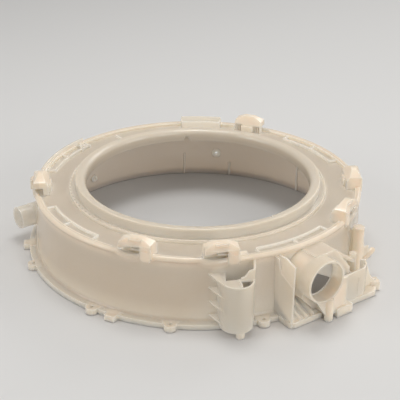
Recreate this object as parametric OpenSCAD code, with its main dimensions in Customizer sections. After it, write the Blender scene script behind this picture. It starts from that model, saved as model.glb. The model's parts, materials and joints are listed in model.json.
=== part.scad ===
// Front half of a front-loading washer tub, one injection moulding.
// The drum axis is Z, the joint plane to the rear half is Z = 0,
// and the sump (the lowest point once installed) points along -Y.

/* [Drum wall] */
// Outside radius of the drum wall at the joint flange
wall_r = 256; // [235:1:275]
// Wall thickness of the moulding
wall_t = 3.2; // [2.4:0.1:4.5]
// Radius lost between flange and rim, for mould release
wall_draft = 3; // [1:0.5:5]
// Height of the rim bead above the joint plane
rim_h = 104; // [95:1:130]
// Radius of the round bead along the rim
bead_r = 4.2; // [3:0.1:5.5]
// Depth of the front face below the top of the bead
face_drop = 5.8; // [4:0.1:9]

/* [Door collar] */
// Inside radius of the door opening
door_r = 176; // [150:1:190]
// Radial width of the collar lip
lip_w = 15.5; // [12:0.5:20]
// Height of the lip above the rim bead
lip_rise = 12; // [8:0.5:18]
// Radius that rounds the lip into its inner skirt
lip_round = 8; // [5:0.5:9]
// Depth of the collar's inner skirt
skirt_d = 19; // [12:0.5:30]
// Width of the groove around the collar
groove_w = 7; // [4:0.5:12]
// Width of the raised step outside the groove
step_w = 3.4; // [2:0.2:6]

/* [Joint flange] */
// Radial width of the flange outside the wall
flange_w = 12; // [9:0.5:16]
// Thickness of the flange
flange_t = 8; // [6:0.5:12]
// Width of the seal groove in the joint face
seal_w = 4.4; // [2:0.2:5.5]
// Depth of the seal groove
seal_d = 4.5; // [2:0.5:5.5]
// Hole radius of a screw ear
ear_hole_r = 2.6; // [1.5:0.1:3.5]
// Outside radius of a screw ear
ear_r = 9; // [7:0.5:11]
// Distance of an ear hole outside the drum wall
ear_out = 13; // [11:0.5:16]

/* [Counterweight bosses] */
// Height of a boss above the front face
boss_h = 27.4; // [20:0.2:32]
// Width of a boss at its foot
boss_w = 50; // [38:1:54]
// Width of the flat top of a boss
boss_top_w = 17; // [10:0.5:24]
// Radial depth of a boss
boss_d = 24; // [18:0.5:28]
// Number of slots on each side of a boss's inner pad
boss_slots = 3; // [1:1:3]

/* [Stiffening frames] */
// Radial width of a rib frame beside the rim
frame_w = 16; // [10:0.5:22]
// Thickness of every rib
rib_t = 2.4; // [1.6:0.1:3.5]

/* [Sump port] */
// Bore radius of the sump port
port_r = 29; // [22:0.5:31]
// Wall thickness of the port tube
port_t = 3; // [2:0.1:4]
// Height of the port axis above the joint plane
port_z = 64; // [58:1:66]
// Distance of the port mouth outside the drum wall
port_out = 47; // [40:1:56]
// Distance of the sump's outer wall outside the drum wall
sump_out = 27; // [20:1:30]
// Distance of the sump flange edge outside the drum wall
sump_edge = 36; // [30:1:42]

/* [Bracket pocket] */
// Outside radius of the half-round bracket pocket
bracket_r = 23.2; // [18:0.2:28]
// Distance of the pocket's front outside the drum wall
bracket_out = 41; // [34:1:48]
// Height of the pocket's upper edge
bracket_top = 81; // [70:1:88]
// Height of the pocket's lower edge
bracket_foot = 10; // [10:1:20]
// Number of gussets beside the pocket
gusset_n = 4; // [2:1:5]

/* [Hose spigots] */
// Outside radius of the large spigot
spigot_r = 18; // [12:0.5:20]
// Wall thickness of the spigots
spigot_t = 2.5; // [1.5:0.1:3.5]
// Length of the large spigot outside the wall
spigot_l = 39; // [24:1:48]
// Length of the thinner land that the hose is pushed onto
spigot_land = 22; // [15:1:24]
// Height of the large spigot's axis
spigot_z = 40; // [30:1:60]

/* [Locating pegs] */
// Radius of a locating peg
peg_r = 6.4; // [4:0.2:8]

/* [Hidden] */

// Overlap that fuses neighbouring features
lap = 1;
// Room that a cut takes past a face
past = 2;

face_z = rim_h - face_drop;
plate_t = wall_t;
lip_z = rim_h + lip_rise;
lip_r = door_r + lip_w;
step_r = lip_r + groove_w + step_w;
step_z = rim_h - 0.6;
groove_z = face_z + 1.6;
top_wall_r = wall_r - wall_draft;
bead_c = top_wall_r + 2 - bead_r;
bead_w = 5;
bead_side_z = rim_h - 0.9;
flange_r = wall_r + flange_w;
ear_c = wall_r + ear_out;
ear_t = flange_t + 1.2;
cove_r = 4;

// Angles run round Z from the sump direction, positive towards +X
EARS = [-165, -136.8, -103, -68.8, -43.2, -15.2, 43.2, 68.8, 103, 136.8, 165];
LUGS = [-117.5, -61.5, 117.5];
// Angle of each boss, and 1 where its pocket lies on the +X side
BOSSES = [[-119, 1], [-55, 0], [-27.8, 0], [26.9, 1], [55.3, 1], [122.5, 0]];
// First angle and last angle of each rib frame
FRAMES = [[-162.7, -134], [-101.3, -72.3], [-15, 14], [75.3, 104.8]];
back_cell = [135.3, 151.6];

plastic = "#E3D7C2";

// Radius of the middle of the drum wall at a height
function mid_r(z) = wall_r - wall_t / 2 - wall_draft * z / face_z;

module around(angle) {
  rotate([0, 0, angle]) children();
}

// A sheet drawn in X and Z that stands across the Y axis
module standing_x(y, thick) {
  translate([0, y + thick, 0]) rotate([90, 0, 0]) linear_extrude(thick) children();
}

// A sheet drawn in Y and Z that stands across the X axis
module standing_y(x, thick) {
  translate([x, 0, 0]) rotate([90, 0, 90]) linear_extrude(thick) children();
}

// Removes what an outer feature would leave inside the drum
module outside_drum(top = face_z - lap) {
  difference() {
    children();
    translate([0, 0, -past]) cylinder(r1 = mid_r(-past), r2 = mid_r(top), h = top + past, $fn = 128);
  }
}

// Part of a ring, from one angle to the other
module arc_band(r_in, r_out, z, h, from, to) {
  rotate([0, 0, from - 90])
    rotate_extrude(angle = to - from, $fn = 128)
      translate([r_in, z]) square([r_out - r_in, h]);
}

module wall_section() {
  polygon([
    [wall_r - wall_t, 0],
    [wall_r, 0],
    [top_wall_r, face_z],
    [top_wall_r - wall_t, face_z]
  ]);
}

// Round bead along the rim, flat towards the face
module bead_section() {
  translate([bead_c, rim_h - bead_r]) circle(r = bead_r, $fn = 48);
  translate([bead_c - bead_w, face_z - lap]) square([bead_w, bead_side_z - face_z + lap]);
}

module face_section() {
  translate([step_r - step_w, face_z - plate_t]) square([top_wall_r - step_r + step_w - lap, plate_t]);
}

// Fillet where face and wall meet inside the drum
module corner_section() {
  fillet = 7;
  difference() {
    translate([top_wall_r - wall_t - fillet, face_z - plate_t - fillet]) square(fillet + lap);
    translate([top_wall_r - wall_t - fillet, face_z - plate_t - fillet]) circle(r = fillet, $fn = 48);
  }
}

// Step, groove and inverted channel around the door opening
module collar_section() {
  edge = wall_t / 2;
  translate([step_r - step_w, face_z - lap]) square([step_w, step_z - face_z + lap - edge]);
  translate([step_r - step_w / 2, step_z - edge]) circle(r = step_w / 2, $fn = 32);
  translate([lip_r - wall_t, groove_z - plate_t]) square([groove_w + wall_t + lap, plate_t]);
  translate([lip_r - wall_t, groove_z - plate_t]) square([wall_t, lip_z - groove_z + plate_t - edge]);
  translate([door_r, lip_z - skirt_d]) square([wall_t, skirt_d - lip_round]);
  intersection() {
    translate([door_r, lip_z - lip_round]) square(lip_round);
    difference() {
      translate([door_r + lip_round, lip_z - lip_round]) circle(r = lip_round, $fn = 64);
      translate([door_r + lip_round, lip_z - lip_round]) circle(r = lip_round - wall_t, $fn = 64);
    }
  }
  translate([door_r + lip_round, lip_z - wall_t]) square([lip_w - lip_round - edge, wall_t]);
  translate([lip_r - edge, lip_z - edge]) circle(r = edge, $fn = 32);
}

module flange_section() {
  difference() {
    translate([wall_r - wall_t, 0]) square([flange_w + wall_t, flange_t]);
    translate([wall_r + (flange_w - seal_w) / 2, -past]) square([seal_w, seal_d + past]);
  }
  difference() {
    translate([wall_r - wall_t / 2, flange_t - lap]) square([cove_r + wall_t / 2, cove_r + lap]);
    translate([wall_r + cove_r, flange_t + cove_r]) circle(r = cove_r, $fn = 48);
  }
}

module drum_shell() {
  rotate_extrude($fn = 128) {
    wall_section();
    bead_section();
    face_section();
    corner_section();
    collar_section();
    flange_section();
  }
}

// Screw ear, a little thicker than the flange, with tapering flanks
module screw_ear(angle) {
  flank = 5;
  reach = ear_out - wall_t;
  around(angle) translate([0, -ear_c, 0]) {
    cylinder(r = ear_r, h = ear_t, $fn = 48);
    linear_extrude(ear_t)
      polygon([[-ear_r + 0.3, 0], [ear_r - 0.3, 0], [ear_r + flank, reach], [-ear_r - flank, reach]]);
  }
}

module ear_hole(angle) {
  around(angle) translate([0, -ear_c, -past]) cylinder(r = ear_hole_r, h = ear_t + 2 * past, $fn = 32);
}

// Blunt locating lug beside an ear
module locating_lug(angle) {
  lug_w = 15;
  lug_out = 9;
  around(angle) translate([0, -flange_r, 0])
    linear_extrude(ear_t)
      polygon([
        [-lug_w / 2, -lug_out],
        [lug_w / 2, -lug_out],
        [lug_w / 2 + 1, -2],
        [lug_w / 2 + 6, flange_w - 3],
        [-lug_w / 2 - 6, flange_w - 3],
        [-lug_w / 2 - 1, -2]
      ]);
}

// Crown outline of a counterweight boss, seen along the radius
module boss_crown() {
  shoulder_h = boss_h - 7;
  shoulder_w = boss_w - 3;
  polygon([
    [-boss_w / 2, -lap],
    [-shoulder_w / 2, shoulder_h],
    [-boss_top_w / 2, boss_h],
    [boss_top_w / 2, boss_h],
    [shoulder_w / 2, shoulder_h],
    [boss_w / 2, -lap]
  ]);
}

boss_out_r = bead_c + bead_r + 0.6;
boss_in_r = boss_out_r - boss_d;

// Side outline of a boss: upright foot, then a crown that leans outwards
module boss_side() {
  foot_h = boss_h / 2;
  polygon([
    [-boss_in_r, -lap],
    [-boss_in_r, foot_h],
    [-boss_in_r - boss_d * 0.4, boss_h + lap],
    [-boss_out_r + boss_d * 0.3, boss_h + lap],
    [-boss_out_r, boss_h - 9],
    [-boss_out_r, -lap]
  ]);
}

// Buttress that carries the closed half of a boss over the rim
module boss_buttress(reach) {
  standing_y(8.4, boss_w / 2 - 11)
    polygon([
      [-boss_in_r - boss_d / 2, -lap],
      [-boss_out_r + 4, -6.4],
      [-boss_out_r - reach, -3.6],
      [-boss_out_r - reach, 10],
      [-boss_out_r + 3, 15],
      [-boss_in_r - boss_d / 2, 15]
    ]);
}

// Boss with an inner pad, slots beside it and a canopy over its pocket
module counterweight_boss(angle, flip) {
  pad_w = 21;
  pad_d = 3;
  slot_w = 2.2;
  slot_pitch = 4.2;
  canopy = 8;
  around(angle) translate([0, 0, face_z]) mirror([flip, 0, 0]) {
    difference() {
      union() {
        intersection() {
          standing_x(-boss_out_r - lap, boss_d + 2 * lap) boss_crown();
          standing_y(-boss_w, 2 * boss_w) boss_side();
        }
        translate([-pad_w / 2, -boss_in_r - lap, -lap]) cube([pad_w, pad_d + lap, boss_h / 2 - 1]);
        // Centre block that stands out from the sloping crown
        translate([-boss_top_w / 2 - 1, -boss_out_r + 3, 4]) cube([boss_top_w + 2, 9, boss_h - 5.4]);
      }
      for (side = [-1, 1], i = [0 : boss_slots - 1]) {
        translate([side * (pad_w / 2 + 2.4 + i * slot_pitch) - slot_w / 2, -boss_in_r - 4, 0.4])
          cube([slot_w, 4 + past, boss_h / 2 - 1.6]);
      }
      standing_x(-boss_out_r - past, boss_d - 9 + past)
        polygon([
          [-boss_w / 2 - past, -0.4],
          [-boss_w / 2 - past, canopy + 2],
          [-boss_top_w / 2, canopy + 7],
          [canopy, canopy + 8.5],
          [canopy, -0.4]
        ]);
    }
    // Tab inside the canopy's mouth
    translate([-6, -boss_out_r + 2.6, 9.6]) cube([6 + canopy + lap, boss_d / 2, 2.2]);
    boss_buttress(angle < -90 ? 6 : 0.8);
  }
}

// The rim swells outwards beside a boss and holds a leaf-shaped pocket
swell_r = 60;
swell_c = boss_out_r + 2 - swell_r;
swell_edge = 3;

module rim_swell(angle, flip) {
  top = rim_h - 1.4;
  around(angle) mirror([flip, 0, 0]) translate([-8, -swell_c, 0])
    rotate_extrude($fn = 96)
      polygon([
        [swell_r / 2, top],
        [swell_r - swell_edge, top],
        [swell_r - swell_edge / 3, top - 1],
        [swell_r, top - swell_edge],
        [swell_r - 0.6, top - 7],
        [swell_r - 7, face_z - 17],
        [swell_r / 2, face_z - 17]
      ]);
}

module rim_pocket(angle, flip) {
  around(angle) mirror([flip, 0, 0]) translate([0, 0, face_z - 0.9])
    intersection() {
      linear_extrude(face_drop + 2 * past)
        polygon([
          [-44, -top_wall_r + 7],
          [-boss_w / 2, -boss_in_r - 4],
          [boss_w / 8, -boss_in_r - 4],
          [boss_w / 8, -wall_r - 6],
          [-44, -wall_r - 6]
        ]);
      translate([-8, -swell_c, -lap]) cylinder(r = swell_r - 1.5 * swell_edge, h = 20, $fn = 96);
    }
}

module rib_wall(angle, r_in, r_out, height) {
  around(angle) translate([-rib_t / 2, -r_out, face_z - lap]) cube([rib_t, r_out - r_in, height + lap]);
}

// Rib frame between the face and the rim bead
module rib_frame(from, to) {
  height = face_drop;
  r_in = bead_c - bead_w + lap - frame_w;
  arc_band(r_in, r_in + rib_t, face_z - lap, height, from, to);
  for (a = [from, (from + to) / 2, to]) rib_wall(a, r_in + rib_t / 2, bead_c - lap, height - 1.5);
}

module face_frames() {
  for (f = FRAMES) rib_frame(f[0], f[1]);
  cell_in = bead_c - bead_w + lap - frame_w;
  cell_h = face_drop + 8;
  arc_band(cell_in, cell_in + rib_t, face_z - lap, cell_h, back_cell[0], back_cell[1]);
  arc_band(bead_c - rib_t, bead_c, face_z - lap, cell_h + 3, back_cell[0], back_cell[1]);
  for (a = back_cell) rib_wall(a, cell_in + rib_t / 2, bead_c - rib_t / 2, cell_h - 1.5);
  // Raised outer wall and crossed ribs at the end of the left rear frame
  arc_band(bead_c - rib_t, bead_c, face_z - lap, cell_h - lap, FRAMES[0][0], -127);
  for (turn = [-38, 38]) {
    around(FRAMES[0][0] + 3.4) translate([0, 9 - bead_c, face_z - lap]) rotate([0, 0, turn])
      translate([-rib_t / 2, -9, 0]) cube([rib_t, 26, face_drop + 1.4]);
  }
  // Short radial rib between the step and the rim at the back
  rib_wall(-177.9, step_r - lap, cell_in + 7, face_drop - 2.4);
  // Small pad on the rim between the front boss and the bracket
  arc_band(bead_c - 9, bead_c, face_z - lap, 9, -22.8, -19.4);
}

// Half-round bracket pocket on the wall
bracket_angle = -24;
bracket_c = wall_r + bracket_out - bracket_r;
bracket_depth = bracket_c - mid_r(0) + 4;

module bracket_plan(r) {
  circle(r = r, $fn = 64);
  translate([-r, 0]) square([2 * r, bracket_depth]);
}

module bracket_shell() {
  height = bracket_top - bracket_foot;
  difference() {
    translate([0, 0, bracket_foot]) linear_extrude(height) bracket_plan(bracket_r);
    translate([0, 0, bracket_foot + rib_t]) linear_extrude(height) bracket_plan(bracket_r - rib_t);
  }
}

// Roof over the pocket, open at its right front and along the wall
module bracket_roof() {
  r = bracket_r - rib_t / 2;
  bar = 4.5;
  translate([0, 0, bracket_top - rib_t])
    linear_extrude(rib_t + 0.4) {
      intersection() {
        circle(r = r, $fn = 64);
        translate([-r, -r]) square([r + 3, r]);
      }
      polygon([[-r, -lap], [-16, -lap], [-11.5, bracket_depth], [-r, bracket_depth]]);
      translate([-r, -bar]) square([2 * r, bar]);
    }
  translate([3 - rib_t, 3 - r, bracket_top - 7]) cube([rib_t, r - bar, 9]);
}

// Stepped web and tall cheek on the pocket's right side
module bracket_cheek() {
  rise = face_z - bracket_top;
  right = bracket_r - rib_t;
  standing_x(-4, rib_t)
    polygon([
      [4, bracket_top - lap],
      [4, bracket_top + rise * 0.25],
      [9, bracket_top + rise * 0.32],
      [15, bracket_top + rise * 0.82],
      [19.5, bracket_top + rise * 0.9],
      [right + lap, face_z - 0.6],
      [right + lap, bracket_top - lap]
    ]);
  translate([0, 0, bracket_foot + lap])
    linear_extrude(face_z - bracket_foot - 1.6)
      polygon([
        [right, -4],
        [right + rib_t, -4],
        [right + rib_t + 8, bracket_depth],
        [right + 6.5, bracket_depth]
      ]);
}

// Pointed horizontal gussets between the wall and the pocket's left side
module bracket_gussets() {
  tip = 12.5;
  pitch = bracket_top / (gusset_n - 0.15);
  for (i = [0 : gusset_n - 1]) {
    translate([0, 0, bracket_top - rib_t + 0.7 - i * pitch])
      linear_extrude(rib_t)
        polygon([
          [-bracket_r - tip, bracket_depth],
          [-bracket_r - tip + 1, bracket_depth - 2.5],
          [-bracket_r + 2.5, -bracket_r / 2],
          [-bracket_r + 3.4, -bracket_r / 2],
          [-bracket_r + lap, bracket_depth]
        ]);
  }
}

module bracket() {
  around(bracket_angle) translate([0, -bracket_c, 0]) {
    bracket_shell();
    bracket_roof();
    bracket_cheek();
    bracket_gussets();
    translate([2, peg_r - bracket_r + 0.8, 0]) cylinder(r = peg_r, h = bracket_foot + lap, $fn = 48);
  }
}

// Sump housing and port
port_x = 3;
housing_y = -wall_r - sump_out;
edge_y = -wall_r - sump_edge;
mouth_y = -wall_r - port_out;
web_x = -45;
skirt_h = 56;
skirt_foot_x = 124;
sump_x0 = port_x - port_r - port_t;
sump_x1 = 64;
sump_flange_t = flange_t + 1;

module port_axis(y, r, length) {
  translate([port_x, y, port_z]) rotate([-90, 0, 0]) cylinder(r = r, h = length, $fn = 96);
}

// Closed box between the drum wall and the port
module sump_housing() {
  back = -mid_r(0) + 30;
  standing_x(housing_y, back - housing_y)
    polygon([
      [port_x + 8, 0],
      [sump_x0 + 6, port_z - port_r + 1],
      [sump_x0 + 6, port_z],
      [port_x - 6, face_z - 1.7],
      [sump_x1 - 30, face_z - 1.7],
      [sump_x1, skirt_h + 4],
      [sump_x1, 0]
    ]);
  // Flat-topped rib box over the tube
  translate([port_x - 6.5, housing_y - 0.6, port_z]) cube([34, 40, port_r + port_t + 0.7]);
}

module sump_cavity() {
  y0 = housing_y + wall_t;
  depth = -y0 - mid_r(0) + 34;
  x0 = sump_x0 + 6 + wall_t;
  standing_x(y0, depth)
    polygon([
      [port_x + 15, -past],
      [x0, port_z - port_r + 8],
      [x0, port_z - 4],
      [port_x - 4, face_z - 2 * wall_t],
      [sump_x1 - 34, face_z - 2 * wall_t],
      [sump_x1 - wall_t, skirt_h],
      [sump_x1 - wall_t, -past]
    ]);
}

// The passage behind the bore, closed above a sloping sill
module port_passage() {
  sill = 30;
  intersection() {
    port_axis(housing_y - past, port_r - 1.4, 2 * past + wall_t);
    translate([port_x, 0, port_z + 4.5]) rotate([0, sill, 0])
      translate([-2 * port_r, housing_y - 2 * past, -3 * port_r]) cube([4 * port_r, 6 * past, 3 * port_r]);
  }
}

// Flange that follows the sump outline
module sump_flange() {
  corner = 12;
  linear_extrude(sump_flange_t)
    polygon([
      [web_x - rib_t, -mid_r(0) + 20],
      [web_x - rib_t, edge_y + 4],
      [web_x + 4, edge_y],
      [skirt_foot_x - corner, edge_y],
      [skirt_foot_x + 2, edge_y + corner],
      [skirt_foot_x + 34, -wall_r * 0.83],
      [skirt_foot_x + 30, -mid_r(0) + 60]
    ]);
}

// Screw towers on the sump flange
SUMP_EARS = [skirt_foot_x, edge_y + 16];
sump_ear_h = 15;

module sump_ears() {
  translate([SUMP_EARS[0], SUMP_EARS[1], 0]) rotate([0, 0, -20])
    translate([-7, -7, 0]) cube([14, 15, sump_ear_h]);
  translate([26, mouth_y - 2, 0]) cube([28, sump_edge - sump_out + 8, sump_ear_h - 1]);
}

module sump_ear_holes() {
  translate([SUMP_EARS[0], SUMP_EARS[1], -past]) cylinder(r = ear_hole_r, h = sump_ear_h + 2 * past, $fn = 32);
}

// Tall web left of the port, its upper part leaning towards the tube
module sump_web() {
  fold_out = 63;
  fold_in = 78;
  reach = edge_y + 2;
  slope = atan((fold_in - fold_out) / (-mid_r(0) - reach));
  lean = 21.5;
  web_back = -mid_r(0) + 10;
  standing_y(web_x - rib_t / 2, rib_t)
    polygon([
      [reach, 0],
      [web_back, 0],
      [web_back, face_z - 2.6],
      [-wall_r - 0.6, face_z - 2.6],
      [-wall_r - 6, fold_in - 2.4],
      [reach, fold_out + 0.4]
    ]);
  intersection() {
    translate([web_x - rib_t / 2, reach, fold_out - 0.3]) rotate([slope, 0, 0])
      rotate([0, lean, 0]) cube([rib_t, 60, 40]);
    translate([web_x - 10, reach, 0]) cube([60, 60, face_z - 2.1]);
    // Free edge of the leaning part, cut back towards the tube
    standing_y(web_x - 10, 60)
      polygon([
        [reach, 0],
        [reach, fold_out],
        [reach + 9, fold_out + 26.5],
        [-wall_r + 8, face_z + 3],
        [web_back, face_z + 3],
        [web_back, 0]
      ]);
  }
}

// Saddle block, front apron and peg that carry the port tube on the flange
module port_saddle() {
  block_z = flange_t + 3;
  saddle_w = 37;
  apron_y = mouth_y + 1.4;
  difference() {
    union() {
      translate([port_x + 2, apron_y + 1, block_z]) cube([saddle_w, port_out - sump_out, port_z - block_z - 8]);
      standing_x(apron_y, wall_t)
        polygon([
          [-15, port_z - 24],
          [port_x + 4, flange_t - 1.4],
          [port_x + saddle_w + 3.4, flange_t - 1.4],
          [port_x + saddle_w + 3.4, port_z - 4],
          [-15, port_z - 4]
        ]);
    }
    port_axis(mouth_y - past, port_r + lap, port_out + 60);
  }
  translate([port_x + 9, mouth_y + 2, 0]) cylinder(r = peg_r, h = port_z - port_r, $fn = 48);
}

// Sloping floor beside the port, with rounded ridges that run down it
module sump_chute() {
  top_y = -wall_r + 6;
  top_z = port_z - port_r;
  low_z = flange_t - 1.6;
  drift = 10;
  run = top_y - edge_y - lap;
  drop = top_z - low_z;
  standing_y(web_x, port_x + 6 - web_x)
    polygon([
      [top_y, top_z],
      [top_y, top_z - wall_t],
      [edge_y + lap, low_z - wall_t],
      [edge_y + lap, low_z + 0.6]
    ]);
  for (x = [web_x + 7, web_x + 18.5, web_x + 30]) {
    translate([x, top_y, top_z]) rotate([0, 90 + atan(drop / norm([run, drift])), -atan(run / drift)])
      cylinder(r = 3.4, h = norm([run, drift, drop]) - 3, $fn = 32);
  }
}

// Core-out under the chute, open towards the joint face
module chute_core() {
  translate([web_x + 5, edge_y + 14, -past]) cube([port_x + 6 - web_x - 20, 8, sump_flange_t + 2 * past]);
}

// Wall of the open pocket right of the port, turned back at its end
module skirt_pocket() {
  front = edge_y;
  linear_extrude(skirt_h - 2.4)
    polygon([
      [port_x + port_r + 3, front - 0.8],
      [88, front + 2],
      [99, front + 8.6],
      [106, front + 19],
      [101, front + 25],
      [99, front + 23],
      [102.6, front + 19],
      [97, front + 11],
      [87, front + 4.6],
      [port_x + port_r + 3, front + 2]
    ]);
  // Cheek that slopes down to the corner ear
  translate([103, front + 19, 0]) rotate([0, 0, -22])
    standing_x(0, rib_t)
      polygon([[0, 0], [0, skirt_h - 4], [3, skirt_h - 4], [12, 24], [22, sump_ear_h - 1], [22, 0]]);
  translate([sump_x1 + 12, front + 1, 0]) cube([rib_t, 34, skirt_h - 14]);
}

// Posts and the small nozzle beside the skirt pocket
post_angle = 28.5;
post_out = 10;
module posts() {
  around(post_angle) translate([0, -wall_r - post_out, 0]) {
    cylinder(r = 8.5, h = 84, $fn = 48);
    translate([-2.5, 0, 0]) cube([5, post_out + 4, 78]);
  }
  around(20.6) translate([0, -wall_r - 17, 0]) cylinder(r = 5.6, h = 60, $fn = 32);
  // Brace that slants down from the port tube to the short post
  translate([40, -wall_r - 4, 86]) rotate([0, 124.7, 0]) cylinder(r = 3.6, h = 63, $fn = 32);
}

// Blind nozzle that rises from the tall post, with the plate that steadies it
module small_nozzle() {
  nozzle_r = 4.4;
  nozzle_l = 24;
  around(post_angle) translate([0, -wall_r - post_out, 0]) rotate([0, 0, -post_angle]) {
    translate([5, -6.2, 27.6]) rotate([0, 60, 0]) {
      cylinder(r = nozzle_r, h = nozzle_l, $fn = 32);
      translate([0, 0, nozzle_l]) sphere(r = nozzle_r, $fn = 32);
    }
    translate([3, -7.6, 34]) cube([13, rib_t, 17]);
  }
}

// Large hose spigot on the left
spigot_angle = -127.5;
spigot_turn = 38.5;
hose_step = 0.6;
module spigot_frame() {
  around(spigot_angle) translate([0, -wall_r + 2, spigot_z]) rotate([90, 0, spigot_turn]) children();
}

module spigot_body() {
  root = 22;
  spigot_frame() translate([0, 0, -root]) {
    cylinder(r = spigot_r, h = root + spigot_l - spigot_land, $fn = 64);
    cylinder(r = spigot_r - hose_step, h = root + spigot_l, $fn = 64);
  }
}

module spigot_bore() {
  spigot_frame() translate([0, 0, -40]) cylinder(r = spigot_r - spigot_t, h = spigot_l + 60, $fn = 64);
}

// Small features inside the drum
module inner_details() {
  inner = wall_r - wall_t;
  around(-168.3) translate([0, -inner + 4, 24.5]) rotate([90, 0, 0]) cylinder(r = 6, h = 5, $fn = 32);
  around(136.9) translate([0, -inner + 3, 43]) rotate([90, 0, 0]) cylinder(r = 8, h = 4, $fn = 32);
  for (v = [[150.3, 40], [131.2, 25], [100, 59], [-100, 40], [-150.3, 40]]) {
    around(v[0]) translate([-rib_t / 2, -inner - 0.6, 1.5]) cube([rib_t, 4, v[1]]);
  }
}

module inner_holes() {
  inner = wall_r - wall_t;
  around(-168.3) translate([0, -inner + past + 4, 24.5]) rotate([90, 0, 0]) cylinder(r = 2.6, h = 20, $fn = 24);
  around(136.9) translate([0, -inner + past + 3, 43]) rotate([90, 0, 0]) cylinder(r = 2.6, h = 20, $fn = 24);
}

// Pad on the raised step at the back
module collar_pad() {
  arc_band(lip_r - lap, step_r + 7, groove_z - lap, step_z - groove_z + 2, -180, -170);
}

// Drain notch in the front of the lip
module lip_notch() {
  around(-3) translate([-10, -door_r - 9, lip_z - 2.4]) cube([20, 12, past + 3]);
}

// Wedge-shaped notch in the collar's inner skirt at the back
module skirt_notch() {
  around(151) standing_x(-door_r - wall_t - 3, wall_t + 6)
    polygon([
      [-7, lip_z - skirt_d - past],
      [7, lip_z - skirt_d - past],
      [2.5, lip_z - lip_round - 1.6],
      [-2.5, lip_z - lip_round - 1.6]
    ]);
}

module tub_front_half() {
  color(plastic)
    difference() {
      union() {
        difference() {
          union() {
            drum_shell();
            for (b = BOSSES) outside_drum(rim_h) rim_swell(b[0], b[1]);
          }
          for (b = BOSSES) rim_pocket(b[0], b[1]);
        }
        for (b = BOSSES) counterweight_boss(b[0], b[1]);
        face_frames();
        for (a = EARS) screw_ear(a);
        for (a = LUGS) locating_lug(a);
        outside_drum() {
          bracket();
          sump_housing();
          sump_flange();
          sump_ears();
          sump_web();
          skirt_pocket();
          posts();
          small_nozzle();
          spigot_body();
          port_axis(mouth_y, port_r + port_t, port_out + 8);
          port_saddle();
          sump_chute();
        }
        inner_details();
        collar_pad();
      }
      for (a = EARS) ear_hole(a);
      sump_ear_holes();
      sump_cavity();
      chute_core();
      port_axis(mouth_y - past, port_r, port_out - sump_out + past + 1.5);
      port_passage();
      spigot_bore();
      inner_holes();
      lip_notch();
      skirt_notch();
    }
}

tub_front_half();
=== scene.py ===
# %% [markdown]
# # Front half of a washing machine tub
#
# The object is one large injection moulding in natural polypropylene. Its true form comes from the CAD
# frame, which already has the ribs, bosses, collar and sump port. This script gives that form a moulded
# surface, puts it on a pale floor in soft studio light, and looks at it from the same side as the
# photograph does.

# %% Load the CAD frame
import json
import math

import bpy
from mathutils import Matrix, Vector

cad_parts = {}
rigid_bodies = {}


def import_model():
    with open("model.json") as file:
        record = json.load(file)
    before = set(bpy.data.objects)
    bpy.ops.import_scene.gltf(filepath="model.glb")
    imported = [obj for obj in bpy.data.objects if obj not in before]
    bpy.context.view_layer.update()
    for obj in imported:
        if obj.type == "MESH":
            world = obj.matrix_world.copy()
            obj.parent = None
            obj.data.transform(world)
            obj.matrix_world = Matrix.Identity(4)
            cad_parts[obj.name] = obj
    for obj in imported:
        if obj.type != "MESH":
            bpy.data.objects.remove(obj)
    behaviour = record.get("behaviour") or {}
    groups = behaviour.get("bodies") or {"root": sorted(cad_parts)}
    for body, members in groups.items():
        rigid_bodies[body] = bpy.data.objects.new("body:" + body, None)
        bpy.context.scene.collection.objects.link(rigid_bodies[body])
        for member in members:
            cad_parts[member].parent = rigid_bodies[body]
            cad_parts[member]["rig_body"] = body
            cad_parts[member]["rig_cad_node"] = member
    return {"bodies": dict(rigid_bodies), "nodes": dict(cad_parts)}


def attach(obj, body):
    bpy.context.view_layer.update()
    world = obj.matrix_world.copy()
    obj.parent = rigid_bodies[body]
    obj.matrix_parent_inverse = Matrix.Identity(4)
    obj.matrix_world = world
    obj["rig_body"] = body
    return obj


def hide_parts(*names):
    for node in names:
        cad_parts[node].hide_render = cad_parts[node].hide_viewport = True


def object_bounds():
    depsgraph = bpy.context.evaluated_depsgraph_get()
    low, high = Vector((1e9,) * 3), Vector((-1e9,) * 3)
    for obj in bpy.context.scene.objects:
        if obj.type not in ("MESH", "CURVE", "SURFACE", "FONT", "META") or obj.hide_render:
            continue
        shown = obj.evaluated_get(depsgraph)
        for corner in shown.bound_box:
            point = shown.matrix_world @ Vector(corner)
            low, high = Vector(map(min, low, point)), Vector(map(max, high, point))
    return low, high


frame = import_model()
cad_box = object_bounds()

NODE = "tub_front_half"
BODY = next(iter(frame["bodies"]))
MM = 0.001
print("CAD box in metres:", cad_box)

# %% [markdown]
# ## Colours
#
# A designer writes a colour as an sRGB hex value, but Blender's shader sockets take linear light. One small
# function turns the one into the other, so every colour in the script can be read and compared by eye.


# %% Colours from hex
def linear(hex_colour):
    """sRGB hex such as "#E3D7C2" as linear RGBA."""
    channels = [int(hex_colour[i : i + 2], 16) / 255 for i in (1, 3, 5)]
    return [c / 12.92 if c <= 0.04045 else ((c + 0.055) / 1.055) ** 2.4 for c in channels] + [1.0]


# %% [markdown]
# ## Camera
#
# The photograph looks at the tub from the left of the sump port and about 25 degrees above the table. The
# ellipse of the door opening gives the height of the view, and the sump port against the far rim gives its
# turn, so both were fitted first. A long lens keeps the near and the far rim close in size, as in the
# photograph, and a small shift frames the tub as the photograph does without turning the view.

# %% Place the camera
TURN = -35.5
ELEVATION = 24.888
DISTANCE = 1.53025
ROLL = 0.59
LOOK_AT = Vector((0, 0, 0.10424))
LENS = 87.29
SHIFT_X = 0.0055
SHIFT_Y = -0.0518

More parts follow.
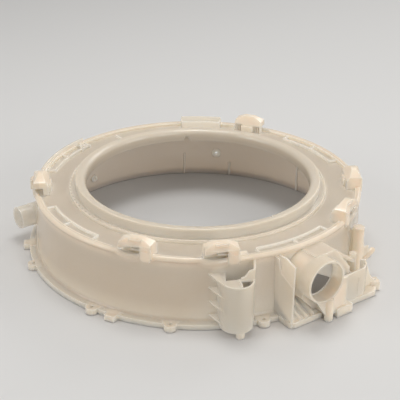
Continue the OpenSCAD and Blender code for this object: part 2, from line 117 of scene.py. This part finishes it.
turn = math.radians(TURN)
rise = math.radians(ELEVATION)
level = math.cos(rise)
direction = Vector((math.sin(turn) * level, -math.cos(turn) * level, math.sin(rise)))
bpy.ops.object.select_all(action="DESELECT")
bpy.ops.object.camera_add(location=LOOK_AT + direction * DISTANCE)
camera = bpy.context.object
camera.name = "photo_camera"
facing = direction.to_track_quat("Z", "Y").to_matrix().to_4x4()
roll = Matrix.Rotation(math.radians(ROLL), 4, "Z")
camera.matrix_world = Matrix.Translation(camera.location) @ facing @ roll
camera.data.lens = LENS
camera.data.shift_x = SHIFT_X
camera.data.shift_y = SHIFT_Y
bpy.context.scene.camera = camera
print("camera at", [round(c, 3) for c in camera.location])

# %% [markdown]
# ## The moulding
#
# On the real object this is one shot of plastic: the drum wall, the face, the door collar, the bosses and
# the sump all grew in one mould. Modelling it again by hand would only copy the CAD form less exactly, so
# the form is taken over. The frame's mesh is a loose set of triangles, though, and its round walls would
# show their facets. A copy of it is merged into one skin and then shaded smooth wherever two faces meet at a
# shallow angle, while the real edges stay crisp.

# %% Make one smooth skin of the frame's mesh
SMOOTH_ANGLE = 32
MERGE = 2e-6

bpy.ops.object.select_all(action="DESELECT")
cad_tub = frame["nodes"][NODE]
tub = cad_tub.copy()
tub.data = cad_tub.data.copy()
tub.name = "tub_moulding"
tub.parent = None
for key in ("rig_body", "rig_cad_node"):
    del tub[key]
bpy.context.scene.collection.objects.link(tub)
tub.select_set(True)
bpy.context.view_layer.objects.active = tub
bpy.ops.object.mode_set(mode="EDIT")
bpy.ops.mesh.select_all(action="SELECT")
bpy.ops.mesh.remove_doubles(threshold=MERGE)
bpy.ops.mesh.customdata_custom_splitnormals_clear()
bpy.ops.object.mode_set(mode="OBJECT")
bpy.ops.object.shade_smooth_by_angle(angle=math.radians(SMOOTH_ANGLE))
print("moulding:", len(tub.data.vertices), "points,", len(tub.data.polygons), "faces")

# %% [markdown]
# ## Adding shader nodes
#
# The material below is a chain of nodes. One helper adds a node, sets its inputs and links it, so the chain
# reads from top to bottom. An input is named, or numbered where a node has several inputs of one name.


# %% The node helper
def add_node(tree, kind, inputs=None, **settings):
    """A new node with its settings, its inputs given as values or as the sockets that feed them."""
    node = tree.nodes.new(kind)
    for name, value in settings.items():
        setattr(node, name, value)
    for name, value in (inputs or {}).items():
        if isinstance(value, bpy.types.NodeSocket):
            tree.links.new(value, node.inputs[name])
        else:
            node.inputs[name].default_value = value
    return node


# %% [markdown]
# ## Natural polypropylene
#
# The tub is moulded in unpigmented polypropylene, a milky plastic that light goes a few millimetres into. A
# thin wall lets part of that light through and looks greyer, while a thick boss or rib sends it all back and
# looks creamier. One colour all over would miss that, and painting each rib by hand would not fit a single
# moulding, so the colour is worked out from the form itself: first the cloudy colour of the thin walls, then
# how thick the plastic is behind each point, then how deep the point lies in a hollow, and last whether it
# lies on the drum side. Only the cloudy colour is wholly the plastic's own. The creamier thick places are
# partly its own tone and partly painted glow, and the pale standing parts, the pale wall foot, the pale
# hollows and the greyer drum side are painted light.

# %% Start the material with the cloudy colour of the thin walls
FLOW_MM = 150
THIN_DARK = "#CABBA9"
THIN_LIGHT = "#CFC1AF"
CLOUD_STOPS = ((0.2, THIN_DARK), (0.8, THIN_LIGHT))

polypropylene = bpy.data.materials.new("natural_polypropylene_moulded")
polypropylene.use_nodes = True
tree = polypropylene.node_tree
tree.nodes.clear()
place = add_node(tree, "ShaderNodeTexCoord").outputs["Object"]
flow = add_node(tree, "ShaderNodeTexNoise", {
    "Vector": place, "Scale": 1 / (FLOW_MM * MM), "Detail": 1.0, "Roughness": 0.4, "Distortion": 0.2})
tone = add_node(tree, "ShaderNodeValToRGB", {"Fac": flow.outputs["Fac"]})
for stop, (position, colour) in zip(tone.color_ramp.elements, CLOUD_STOPS):
    stop.position = position
    stop.color = linear(colour)
print("thin walls run from", THIN_DARK, "to", THIN_LIGHT, "in clouds of", FLOW_MM, "mm")

# %% [markdown]
# ## Where a point lies
#
# The drum wall is round, so two values say where a point lies on the tub: its height over the joint, and its
# radius from the drum's axis. Both come from the Object coordinates, so they stay with the moulding.

# %% Height and radius
across = add_node(tree, "ShaderNodeVectorMath", {0: place, 1: (1.0, 1.0, 0.0)}, operation="MULTIPLY")
length = add_node(tree, "ShaderNodeVectorMath", {0: across.outputs["Vector"]}, operation="LENGTH")
radius = length.outputs["Value"]
height = add_node(tree, "ShaderNodeSeparateXYZ", {"Vector": place}).outputs["Z"]
print("height and radius are read from Object coordinates")

# %% [markdown]
# ## Ribs on the face
#
# Four frames of low ribs stand on the front face. The plastic is thicker where a rib meets the face, and a
# rib that stands free takes light in through both its sides, so they are painted as pale lines: partly their
# own thicker tone and partly painted glow. Three ramps multiplied together pick them out: above the face,
# outside the collar and inside the bead.

# %% Pick out the ribs on the face
RIB_HEIGHT_MM = (99, 101)
FACE_FROM_MM = (203, 205)
FACE_TO_MM = (249, 247)
RIB_SHARE = 0.95

thick_and_glow_mask = 1.0
for value, (begins, ends) in ((height, RIB_HEIGHT_MM), (radius, FACE_FROM_MM), (radius, FACE_TO_MM)):
    ramp = add_node(tree, "ShaderNodeMapRange", {
        "Value": value, "From Min": begins * MM, "From Max": ends * MM})
    both = add_node(tree, "ShaderNodeMath", {0: thick_and_glow_mask, 1: ramp.outputs["Result"]}, operation="MULTIPLY")
    thick_and_glow_mask = both.outputs["Value"]
# The ribs are painted pale: partly their thicker tone, partly painted glow.
ribs = add_node(tree, "ShaderNodeMath", {0: thick_and_glow_mask, 1: RIB_SHARE}, operation="MULTIPLY")
print("ribs are picked out between radius", FACE_FROM_MM[0], "and", FACE_TO_MM[0], "mm")

# %% [markdown]
# ## Thick places and painted glow
#
# Ambient occlusion turned inwards sends short rays into the solid. Where they meet the far side of a thin
# wall the value is low, and inside a block they run free. The creamier colour it gives the blocks is partly
# the plastic's own tone and partly painted glow. Three soft bands add painted light where a wall meets many
# others: all that stands high on the face and all that is outside the drum wall, such as the sump, are
# painted pale as if light came through them from both sides, and the foot of the wall, where it meets the
# joint flange, is painted lighter towards the bottom. The highest value counts.

# %% Find the thick places and paint their glow
REACH_MM = 11
THIN_TO_THICK = (0.1, 0.75)
ON_FACE = (101.5 * MM, 108 * MM)
ON_FACE_SHARE = 0.4
OUTSIDE = (256.6 * MM, 264 * MM)
OUTSIDE_SHARE = 0.45
FOOT = (34 * MM, 3 * MM)
FOOT_SHARE = 0.5
# Creamy colour of thick plastic, partly painted glow of light coming through it.
THICK_AND_GLOW = "#F1E0CB"

solid = add_node(tree, "ShaderNodeAmbientOcclusion", {"Distance": REACH_MM * MM}, inside=True, samples=8)
bands = (
    (solid.outputs["AO"], THIN_TO_THICK, 1.0),
    (height, ON_FACE, ON_FACE_SHARE),
    (radius, OUTSIDE, OUTSIDE_SHARE),
    (height, FOOT, FOOT_SHARE),
)
thick_and_glow_mask = ribs.outputs["Value"]
for value, (begins, ends), share in bands:
    band = add_node(tree, "ShaderNodeMapRange", {
        "Value": value, "From Min": begins, "From Max": ends, "To Max": share})
    most = add_node(tree, "ShaderNodeMath", {0: thick_and_glow_mask, 1: band.outputs["Result"]}, operation="MAXIMUM")
    thick_and_glow_mask = most.outputs["Value"]
# The creamy colour goes on thick places and on the painted glow of standing parts and the wall foot.
milky = add_node(tree, "ShaderNodeMix", {
    "Factor": thick_and_glow_mask, "A": tone.outputs["Color"], "B": linear(THICK_AND_GLOW)}, data_type="RGBA")
print("thick places turn to", THICK_AND_GLOW, "where the plastic is deeper than about", REACH_MM, "mm")

# %% [markdown]
# ## Hollows
#
# Pockets and corners of this plastic never go dark, because light comes in through their walls. A renderer
# loses much of that light, so a paler colour stands for it where a point is shut in by its surroundings.
# Ambient occlusion measures that too, this time outwards.

# %% Lighten the hollows
HOLLOW_MM = 60
SHUT = 0.25
OPEN = 0.82
HOLLOW_SHARE = 0.9
HOLLOW = "#FAF0E2"

air = add_node(tree, "ShaderNodeAmbientOcclusion", {"Distance": HOLLOW_MM * MM}, inside=False, samples=8)
shut_in = add_node(tree, "ShaderNodeMapRange", {
    "Value": air.outputs["AO"], "From Min": SHUT, "From Max": OPEN, "To Min": HOLLOW_SHARE, "To Max": 0.0})
glow = add_node(tree, "ShaderNodeMix", {
    "Factor": shut_in.outputs["Result"], "A": milky.outputs["Result"], "B": linear(HOLLOW)},
    data_type="RGBA")
print("hollows turn to", HOLLOW, "by up to", HOLLOW_SHARE)

# %% [markdown]
# ## The drum side
#
# The inside of the drum wall sees only itself and the floor, so its warm tint would build up with each
# bounce of light. In the photograph it looks greyer than the outside, and the few low ribs on it are pale.
# The wall leans by its draft, so the radius is first straightened by the height: then one value tells the
# outside, the inside and the ribs apart.

# %% Paint the drum side greyer and its ribs pale, both as painted light
WALL_DRAFT = 3 / 98.2
INSIDE_MM = (254.8, 254.0)
RIB_MM = (252.5, 252.0)
UNDER_FACE = (91 * MM, 87 * MM)
# Painted light: the drum side greyer against the bounced tint, its ribs in the pale hollow colour.
DRUM_SIDE_PAINTED_GREY = "#CFC6BC"

straight = add_node(tree, "ShaderNodeMath", {0: height, 1: WALL_DRAFT, 2: radius}, operation="MULTIPLY_ADD")
below = add_node(tree, "ShaderNodeMapRange", {
    "Value": height, "From Min": UNDER_FACE[0], "From Max": UNDER_FACE[1]})
base_with_painted_light = glow
for (begins, ends), colour in ((INSIDE_MM, DRUM_SIDE_PAINTED_GREY), (RIB_MM, HOLLOW)):
    band = add_node(tree, "ShaderNodeMapRange", {
        "Value": straight.outputs["Value"], "From Min": begins * MM, "From Max": ends * MM})
    part = add_node(tree, "ShaderNodeMath", {
        0: below.outputs["Result"], 1: band.outputs["Result"]}, operation="MULTIPLY")
    base_with_painted_light = add_node(tree, "ShaderNodeMix", {
        "Factor": part.outputs["Value"], "A": base_with_painted_light.outputs["Result"], "B": linear(colour)},
        data_type="RGBA")
print("drum side:", DRUM_SIDE_PAINTED_GREY, "and its ribs", HOLLOW)

# %% [markdown]
# ## The moulded skin
#
# A polished mould leaves a smooth satin skin with a faint orange peel, whose bumps are one or two pixels wide
# in the picture, and slightly rounded edges that catch the light. The Bevel node rounds those edges for the
# light alone, because real bevels on a thousand faces would cost much and show no more. Polypropylene bends
# light by about 1.49, and its skin shines a little more than that gives. Subsurface scattering carries the
# light through the thin walls, the red part of it a little further than the blue.

# %% Finish the skin
PEEL_MM = 2.5
PEEL_DEPTH_MM = 0.05
PEEL_STRENGTH = 0.35
EDGE_MM = 0.9
SCATTER_MM = 11
SCATTER_SPREAD = (1.0, 0.92, 0.84)
POLISHED = 0.17
LESS_POLISHED = 0.20

gloss = add_node(tree, "ShaderNodeMapRange", {
    "Value": flow.outputs["Fac"], "To Min": POLISHED, "To Max": LESS_POLISHED})
peel = add_node(tree, "ShaderNodeTexNoise", {"Vector": place, "Scale": 1 / (PEEL_MM * MM), "Detail": 2.0})
rounded = add_node(tree, "ShaderNodeBevel", {"Radius": EDGE_MM * MM}, samples=6)
skin = add_node(tree, "ShaderNodeBump", {
    "Height": peel.outputs["Fac"], "Distance": PEEL_DEPTH_MM * MM, "Strength": PEEL_STRENGTH,
    "Normal": rounded.outputs["Normal"]})
plastic = add_node(tree, "ShaderNodeBsdfPrincipled", {
    "Base Color": base_with_painted_light.outputs["Result"], "Roughness": gloss.outputs["Result"],
    "Normal": skin.outputs["Normal"], "IOR": 1.49, "Specular IOR Level": 0.8, "Subsurface Weight": 1.0,
    "Subsurface Radius": SCATTER_SPREAD, "Subsurface Scale": SCATTER_MM * MM})
add_node(tree, "ShaderNodeOutputMaterial", {"Surface": plastic.outputs["BSDF"]})
print("material:", polypropylene.name, "with", len(tree.nodes), "nodes")

# %% [markdown]
# ## Put the material on the moulding
#
# The moulding rides on the one body of the frame and stands for the one CAD node, which is then hidden.

# %% Dress the moulding
tub.data.materials.clear()
tub.data.materials.append(polypropylene)
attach(tub, BODY)
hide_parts(NODE)
print(tub.name, "rides on", BODY, "and replaces", NODE)

# %% [markdown]
# ## Floor
#
# The tub stands on its flange and pegs on a plain pale floor of matte studio paper. The floor lies a hair
# under their lowest point, so that the two never share a plane.

# %% Lay the floor
FLOOR_SIZE = 8
FLOOR_GAP = 0.0005
PAPER = "#D9D8D6"

bpy.ops.object.select_all(action="DESELECT")
bpy.ops.mesh.primitive_plane_add(size=FLOOR_SIZE, location=(0, 0, 0))
floor = bpy.context.object
floor.name = "studio_floor"
floor.location.z = cad_box[0][2] - FLOOR_GAP
paper = bpy.data.materials.new("studio_paper_matte")
paper.use_nodes = True
sheet = paper.node_tree.nodes["Principled BSDF"]
sheet.inputs["Base Color"].default_value = linear(PAPER)
sheet.inputs["Roughness"].default_value = 0.8
floor.data.materials.append(paper)
print("floor:", FLOOR_SIZE, "m square, colour", PAPER)

# %% [markdown]
# ## Light
#
# Two soft lamps low at the sides light the round wall so that it turns darker towards the middle, a weaker
# one in front reaches into the pockets, one overhead draws the satin line along the round of the collar,
# and one behind on the right lights the far side of the face. A pale world fills what is left, at a level
# where the colour of the plastic shows about as it is written.


# %% A soft lamp
def soft_lamp(name, position, size, power):
    """A square area lamp that faces the tub."""
    bpy.ops.object.light_add(type="AREA", location=position)
    lamp = bpy.context.object
    lamp.name = name
    lamp.data.size = size
    lamp.data.energy = power
    lamp.rotation_euler = (LOOK_AT - Vector(position)).to_track_quat("-Z", "Y").to_euler()


# %% Hang the lamps and light the world
WORLD_COLOUR = "#F6F5F4"
WORLD_STRENGTH = 0.5

soft_lamp("left_softbox", (-2.0, 0.5, 1.1), 1.2, 10.5)
soft_lamp("right_softbox", (1.4, -1.9, 1.0), 1.2, 11)
soft_lamp("front_softbox", (-0.1, -2.4, 0.9), 1.2, 9.5)
soft_lamp("overhead_softbox", (0.1, 0.2, 2.0), 0.8, 12)
soft_lamp("back_softbox", (2.0, 0.7, 1.6), 1.2, 10)
world = bpy.data.worlds.new("studio_world")
world.use_nodes = True
backdrop = world.node_tree.nodes["Background"]
backdrop.inputs["Color"].default_value = linear(WORLD_COLOUR)
backdrop.inputs["Strength"].default_value = WORLD_STRENGTH
bpy.context.scene.world = world
bpy.context.scene.view_settings.view_transform = "Standard"
